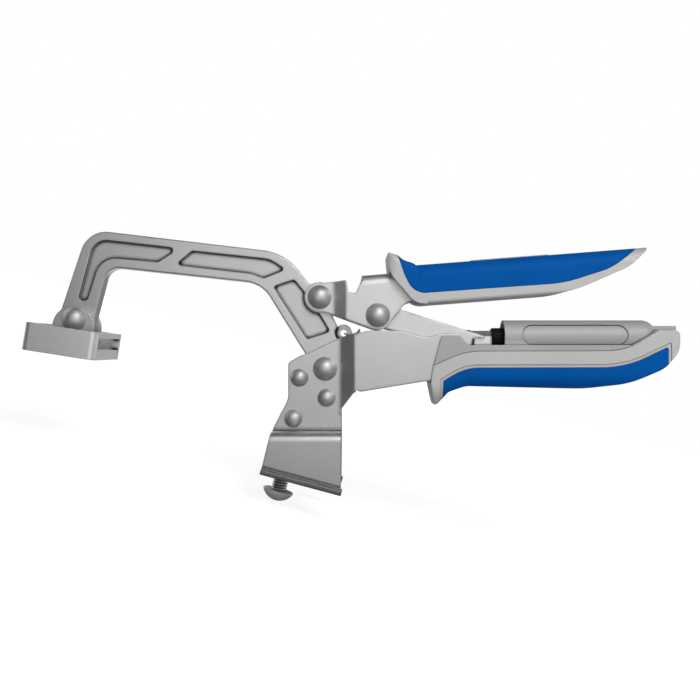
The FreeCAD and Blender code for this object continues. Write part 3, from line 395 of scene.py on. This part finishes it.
# The return spring, in millimetres: hole in the arm's lug, anchor pin, coil and loops
SPRING_HOLE = (9.05, 17.7)
SPRING_ANCHOR = (46.0, 1.5)
SPRING_RADIUS = 4.7
SPRING_WIRE = 0.42
SPRING_TURNS = 11
FRONT_HOOK = 2.2
FRONT_START = 0.6
HOOK_RADIUS = 2.0
HOOK_SWEEP = 300
HOOK_STEPS = 36
ANCHOR_RADIUS = 1.5
ANCHOR_PLAY = 0.05
COIL_STEPS = 32


def return_spring():
    """One wire: a loop through the arm's lug, the coil, and a loop round the anchor pin."""
    mesh = bmesh.new()
    reach = Vector((SPRING_ANCHOR[0] - SPRING_HOLE[0], 0.0, SPRING_ANCHOR[1] - SPRING_HOLE[1]))
    loop_end = FRONT_START + 2 * FRONT_HOOK
    rear = reach.length - (HOOK_RADIUS - SPRING_WIRE - ANCHOR_RADIUS - ANCHOR_PLAY)
    coil_end = rear - HOOK_RADIUS
    ring = wire_ring(mesh, SPRING_WIRE)
    start = math.radians(-60)
    centre = Vector((FRONT_START + FRONT_HOOK, 0.0, 0.0))
    bmesh.ops.rotate(mesh, verts=mesh.verts, matrix=Matrix.Rotation(start, 3, "Z"))
    bmesh.ops.translate(mesh, verts=mesh.verts,
                        vec=(centre + Vector((math.cos(start), math.sin(start), 0)) * FRONT_HOOK) * MM)
    ring = carry(mesh, ring, centre, (0, 0, -1), HOOK_SWEEP, HOOK_STEPS)
    half = SPRING_RADIUS / 2
    ring = carry(mesh, ring, (loop_end, 0.0, -half), (1, 0, 0), 180, 16)
    ring = carry(mesh, ring, (loop_end, 0.0, 0.0), (1, 0, 0), 360 * SPRING_TURNS, COIL_STEPS * SPRING_TURNS,
                 coil_end - loop_end)
    ring = carry(mesh, ring, (coil_end, 0.0, -half), (1, 0, 0), 90, 8)
    ring = carry(mesh, ring, (coil_end, 0.0, -half), (0, 0, 1), 0, 4, half)
    carry(mesh, ring, (rear, 0.0, 0.0), (0, 1, 0), HOOK_SWEEP, HOOK_STEPS)
    turn = Matrix.Rotation(math.atan2(-reach.z, reach.x), 4, "Y")
    place = (to_row @ Matrix.Translation((SPRING_HOLE[0], 0.0, SPRING_HOLE[1])) @ turn
             @ Matrix.Scale(1 / MM, 4))
    bmesh.ops.transform(mesh, verts=mesh.verts, matrix=place)
    piece = piece_from("return_spring_wire", mesh, wire, None, "return_spring")
    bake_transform(piece)


# The barrel's spring, in millimetres; it starts just behind the screw's own travel
BARREL_AXIS = 15.8
COIL_START = 124.8
COIL_END = 149.4
COIL_RADIUS = 4.3
COIL_WIRE = 0.6
COIL_TURNS = 8


def barrel_spring():
    """The coil behind the screw, built at one length; the real coil shortens as the carriage comes back."""
    mesh = bmesh.new()
    ring = wire_ring(mesh, COIL_WIRE)
    bmesh.ops.translate(mesh, verts=mesh.verts, vec=(0.0, 0.0, COIL_RADIUS * MM))
    carry(mesh, ring, (0.0, 0.0, 0.0), (1, 0, 0), 360 * COIL_TURNS, COIL_STEPS * COIL_TURNS,
          COIL_END - COIL_START)
    place = to_row @ Matrix.Translation((COIL_START, 0.0, BARREL_AXIS)) @ Matrix.Scale(1 / MM, 4)
    bmesh.ops.transform(mesh, verts=mesh.verts, matrix=place)
    piece = piece_from("barrel_spring_wire", mesh, wire, None, "barrel_spring")
    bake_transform(piece)


foot_stud()
return_spring()
barrel_spring()


# Stage: pale floor, white surround and soft lamps

def seen_directly(tree):
    """1 for the camera, a reflection or a look through glass, and 0 for the light that falls on things."""
    rays = tree.nodes.new("ShaderNodeLightPath")
    seen = rays.outputs["Is Camera Ray"]
    for kind in ("Is Glossy Ray", "Is Transmission Ray"):
        either = tree.nodes.new("ShaderNodeMath")
        either.operation = "MAXIMUM"
        tree.links.new(seen, either.inputs[0])
        tree.links.new(rays.outputs[kind], either.inputs[1])
        seen = either.outputs[0]
    return seen


floor_mesh = bmesh.new()
bmesh.ops.create_grid(floor_mesh, x_segments=1, y_segments=1, size=6.0)
floor_data = bpy.data.meshes.new("floor")
floor_mesh.to_mesh(floor_data)
floor_mesh.free()
floor = bpy.data.objects.new("floor", floor_data)
bpy.context.scene.collection.objects.link(floor)
floor.location.z = cad_box[0][2] - 0.0002

floor_white = bpy.data.materials.new("floor white")
floor_white.use_nodes = True
tree = floor_white.node_tree
plain = tree.nodes["Principled BSDF"]
plain.inputs["Base Color"].default_value = rgb(FLOOR_GREY, FLOOR_GREY, FLOOR_GREY)
plain.inputs["Roughness"].default_value = 0.9
plain.inputs["Emission Color"].default_value = rgb(1.0, 1.0, 1.0)
spread = tree.nodes.new("ShaderNodeVectorMath")
spread.operation = "LENGTH"
tree.links.new(tree.nodes.new("ShaderNodeTexCoord").outputs["Object"], spread.inputs[0])
haze = tree.nodes.new("ShaderNodeMapRange")
haze.interpolation_type = "SMOOTHSTEP"
for socket, value in (("From Min", HAZE_START), ("From Max", HAZE_END), ("To Min", FLOOR_GLOW),
                      ("To Max", 1.0)):
    haze.inputs[socket].default_value = value
tree.links.new(spread.outputs["Value"], haze.inputs["Value"])
glow = tree.nodes.new("ShaderNodeMath")
glow.operation = "MULTIPLY"
tree.links.new(seen_directly(tree), glow.inputs[0])
tree.links.new(haze.outputs[0], glow.inputs[1])
tree.links.new(glow.outputs[0], plain.inputs["Emission Strength"])
floor_data.materials.append(floor_white)

world = bpy.data.worlds.new("studio")
bpy.context.scene.world = world
world.use_nodes = True
tree = world.node_tree
plain = tree.nodes["Background"]
plain.inputs["Color"].default_value = rgb(1.0, 1.0, 1.0)
plain.inputs["Strength"].default_value = WORLD_LIGHT
white = tree.nodes.new("ShaderNodeBackground")
white.inputs["Color"].default_value = rgb(1.0, 1.0, 1.0)
white.inputs["Strength"].default_value = 1.0
choice = tree.nodes.new("ShaderNodeMixShader")
tree.links.new(seen_directly(tree), choice.inputs["Fac"])
tree.links.new(plain.outputs["Background"], choice.inputs[1])
tree.links.new(white.outputs["Background"], choice.inputs[2])
tree.links.new(choice.outputs["Shader"], tree.nodes["World Output"].inputs["Surface"])


def lamp(name, place, size, power, aim=(12.0, 10.0)):
    """A square soft lamp at a place of the side frame, which the steel doesn't mirror."""
    data = bpy.data.lights.new(name, "AREA")
    data.shape = "SQUARE"
    data.size = size
    data.energy = power
    item = bpy.data.objects.new(name, data)
    bpy.context.scene.collection.objects.link(item)
    spot = at(place[0], place[2], place[1])
    item.location = spot
    item.rotation_euler = (at(*aim) - spot).to_track_quat("-Z", "Y").to_euler()
    item.visible_glossy = False


def card(name, place, facing, width, height, glow):
    """A dark or bright card that only reflections show, at a place of the row, in metres."""
    mesh = bmesh.new()
    bmesh.ops.create_grid(mesh, x_segments=1, y_segments=1, size=0.5)
    bmesh.ops.scale(mesh, verts=mesh.verts, vec=(width, height, 1.0))
    data = bpy.data.meshes.new(name)
    mesh.to_mesh(data)
    mesh.free()
    coat = bpy.data.materials.new(name)
    coat.use_nodes = True
    plain = coat.node_tree.nodes["Principled BSDF"]
    plain.inputs["Base Color"].default_value = rgb(0.0, 0.0, 0.0)
    plain.inputs["Roughness"].default_value = 1.0
    plain.inputs["Specular IOR Level"].default_value = 0.0
    plain.inputs["Emission Color"].default_value = rgb(1.0, 1.0, 1.0)
    plain.inputs["Emission Strength"].default_value = glow
    data.materials.append(coat)
    item = bpy.data.objects.new(name, data)
    bpy.context.scene.collection.objects.link(item)
    item.location = place
    item.rotation_euler = Vector(facing).to_track_quat("Z", "Y").to_euler()
    item.visible_camera = False
    item.visible_diffuse = False
    item.visible_shadow = False


lamp("key", (420.0, -620.0, 560.0), 0.3, KEY_POWER)
lamp("front", (60.0, -900.0, 20.0), 0.8, FRONT_POWER)
above_floor = cad_box[0][2] - 0.0001
card("soft box", at(300.0, 560.0, -650.0), (-0.25, 0.55, -0.6), 0.42, 0.36, 8.0)
card("left card", (-0.26, -0.18, 0.15), (0.95, 0.3, 0.0), 0.32, 0.35, 0.06)
card("left floor card", (-0.24, -0.14, above_floor), (0.0, 0.0, 1.0), 0.34, 0.40, 0.05)
card("front floor card", (0.095, -0.37, above_floor), (0.0, 0.0, 1.0), 0.33, 0.46, 0.25)
card("near floor card", (0.075, -0.05, above_floor), (0.0, 0.0, 1.0), 0.29, 0.18, 0.15)
card("right card", (0.42, -0.10, 0.10), (-0.95, 0.3, 0.0), 0.3, 0.4, 0.12)
card("back card", (0.22, 0.42, 0.02), (-0.5, -0.85, 0.0), 0.3, 0.3, 0.05)
card("inner card", (0.0, 0.42, 0.03), (0.0, -1.0, 0.0), 0.16, 0.18, 0.03)
card("front top card", (0.0, -0.82, 0.84), (0.0, 0.74, -0.67), 2.2, 0.55, 0.35)
card("right front card", (0.40, -0.42, 0.10), (-0.8, 0.6, 0.0), 0.3, 0.4, 0.5)
card("top card", (0.0, 0.19, 0.7), (0.0, 0.0, -1.0), 1.4, 1.3, 0.05)

bpy.context.scene.view_settings.view_transform = "Standard"
